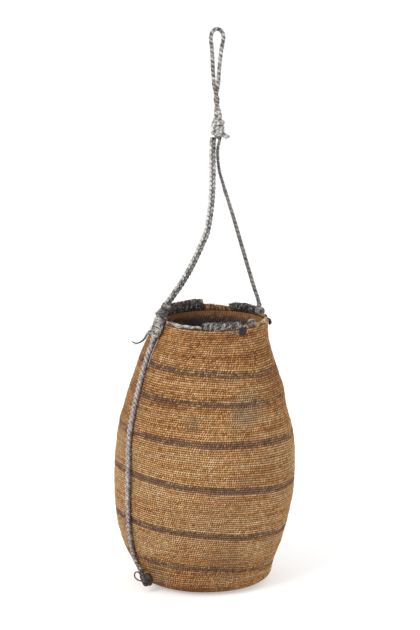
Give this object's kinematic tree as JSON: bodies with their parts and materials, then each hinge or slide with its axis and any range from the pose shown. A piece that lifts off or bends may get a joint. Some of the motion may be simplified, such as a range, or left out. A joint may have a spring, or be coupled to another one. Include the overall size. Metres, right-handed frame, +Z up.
{
  "type": "twined basket",
  "caption": "Tall barrel-shaped twined basket with dyed bands, a cord-wrapped rim, a rope down its side and a rope hanger ending in a loop.",
  "frame": {"origin": "centre of the flat underside, on the surface the basket stands on", "axes": "+Z up through the mouth, -Y towards the viewer, -X towards the side with the thick rope"},
  "size_m": [0.227, 0.226, 0.7042],
  "materials": {
    "twined_fibre": "matte fibre",
    "dyed_weft": "matte fibre",
    "rim_core_cord": "matte fibre",
    "rim_wrap_cord": "matte fibre",
    "pale_edge_cord": "matte fibre",
    "right_lashing_cord": "matte fibre",
    "side_rope_fibre": "matte fibre",
    "left_lashing_cord": "matte fibre",
    "tail_fibre": "matte fibre",
    "thin_thread": "matte fibre",
    "dark_hide": "smooth",
    "rim_knot_cord": "matte fibre",
    "tab_hide": "smooth",
    "nub_cord": "matte fibre",
    "hanger_rope_fibre": "matte fibre",
    "hanger_cord_fibre": "matte fibre",
    "top_knot_fibre": "matte fibre",
    "loop_fibre": "matte fibre"
  },
  "bodies": {
    "basket": {"woven_wall": "twined_fibre", "rim_core_front": "rim_core_cord", "rim_core_back_left": "rim_core_cord", "rim_core_back_right": "rim_core_cord", "rim_wrap_front": "rim_wrap_cord", "rim_wrap_back_left": "rim_wrap_cord", "rim_wrap_back_right": "rim_wrap_cord", "rim_edge_cord_left": "pale_edge_cord", "rim_edge_cord_middle": "pale_edge_cord", "rim_edge_cord_right": "pale_edge_cord", "tie_right_core": "right_lashing_cord", "tie_right": "right_lashing_cord", "side_rope": "side_rope_fibre", "tie_left": "left_lashing_cord", "loose_tail": "tail_fibre", "side_thread": "thin_thread", "loose_rim_strand": "thin_thread", "base_knot": "dark_hide", "base_thong_loop": "dark_hide", "base_thong_end": "dark_hide", "rim_knot": "rim_knot_cord", "leather_tab": "tab_hide", "rim_nub": "nub_cord", "dyed_band_1": "dyed_weft", "dyed_band_2": "dyed_weft", "dyed_band_3": "dyed_weft", "dyed_band_4": "dyed_weft", "dyed_band_5": "dyed_weft", "dyed_band_6": "dyed_weft"},
    "hanger": {"hanger_rope": "hanger_rope_fibre", "hanger_cord": "hanger_cord_fibre", "top_knot": "top_knot_fibre"},
    "loop": {"hanging_loop": "loop_fibre"}
  },
  "joints": [
    {"name": "hanger_swing", "type": "hinge", "parent": "basket", "child": "hanger", "pos_m": [0.00619, 0.00409, 0.34688], "axis": [0.9081, 0.4154, 0.0519], "range_deg": [-70, 70]},
    {"name": "loop_swing", "type": "hinge", "parent": "hanger", "child": "loop", "pos_m": [0.0156, 0.00839, 0.5936], "axis": [1, 0, 0], "range_deg": [-80, 80]}
  ]
}
